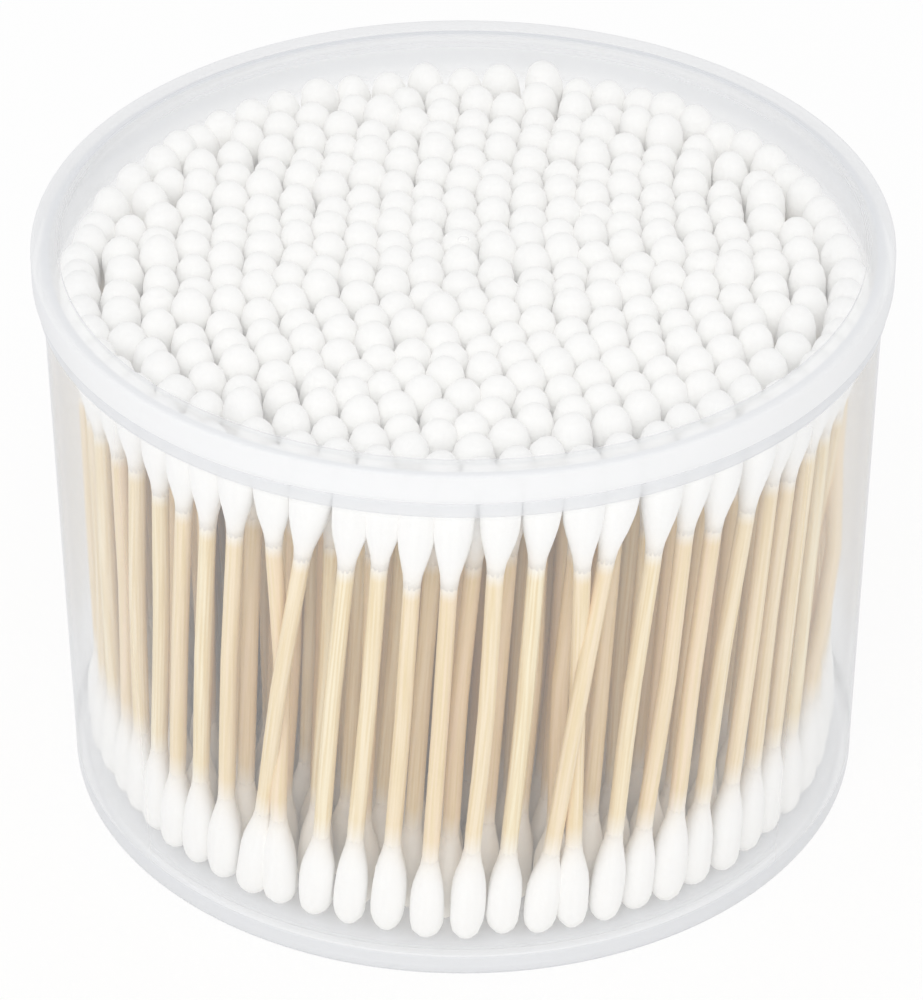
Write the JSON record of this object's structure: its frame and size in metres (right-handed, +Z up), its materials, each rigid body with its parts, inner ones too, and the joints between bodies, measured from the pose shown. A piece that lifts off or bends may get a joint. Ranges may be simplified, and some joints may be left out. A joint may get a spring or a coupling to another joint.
{
  "type": "cotton swab tub",
  "caption": "Round clear plastic tub packed with upright double-ended cotton swabs on wooden sticks, closed by a press-on lid with a recessed panel.",
  "frame": {"origin": "middle of the foot ring's underside, where the tub stands", "axes": "+Z up through the lid; the picture looks along +Y from above the front, with +X to its right"},
  "size_m": [0.114, 0.114, 0.082],
  "materials": {
    "clear_plastic": "clear moulded polypropylene, faintly milky",
    "cotton": "matt white cotton wool",
    "bamboo": "plain dry bamboo stick, satin"
  },
  "bodies": {
    "tub": {"tub": "clear_plastic", "back_swabs_01": "cotton", "back_swabs_02": "cotton", "back_swabs_03": "cotton", "back_swabs_04": "cotton", "back_swabs_05": "cotton", "back_swabs_06": "cotton", "back_swabs_07": "cotton", "back_swabs_08": "cotton", "back_swabs_09": "cotton", "back_swabs_10": "cotton", "back_swabs_11": "cotton", "back_swabs_12": "cotton", "back_swabs_13": "cotton", "back_swabs_14": "cotton", "back_swabs_15": "cotton", "back_swabs_16": "cotton", "back_swabs_17": "cotton", "back_swabs_18": "cotton", "back_swabs_19": "cotton", "back_swabs_20": "cotton", "back_swabs_21": "cotton", "front_swabs_01": "cotton", "front_swabs_02": "cotton", "front_swabs_03": "cotton", "front_swabs_04": "cotton", "front_swabs_05": "cotton", "front_swabs_06": "cotton", "front_swabs_07": "cotton", "front_swabs_08": "cotton", "front_swabs_09": "cotton", "front_swabs_10": "cotton", "front_swabs_11": "cotton", "front_swabs_12": "cotton", "front_swabs_13": "cotton", "front_swabs_14": "cotton", "front_swabs_15": "cotton", "front_swabs_16": "cotton", "front_swabs_17": "cotton", "front_swabs_18": "cotton", "front_swabs_19": "cotton", "front_swabs_20": "cotton", "front_swabs_21": "cotton", "rim_swabs_01": "bamboo", "rim_swabs_02": "bamboo", "rim_swabs_03": "bamboo", "rim_swabs_04": "bamboo", "rim_swabs_05": "bamboo", "rim_swabs_06": "bamboo", "rim_swabs_07": "bamboo", "rim_swabs_08": "bamboo", "rim_swabs_09": "bamboo", "rim_swabs_10": "bamboo", "rim_swabs_11": "bamboo", "rim_swabs_12": "bamboo", "rim_swabs_13": "bamboo", "rim_swabs_14": "bamboo", "rim_swabs_15": "bamboo", "rim_swabs_16": "bamboo"},
    "lid": {"lid": "clear_plastic"}
  },
  "joints": [
    {"name": "lid_lift", "type": "slide", "parent": "tub", "child": "lid", "axis": [0, 0, 1], "range_m": [0, 0.03]}
  ]
}
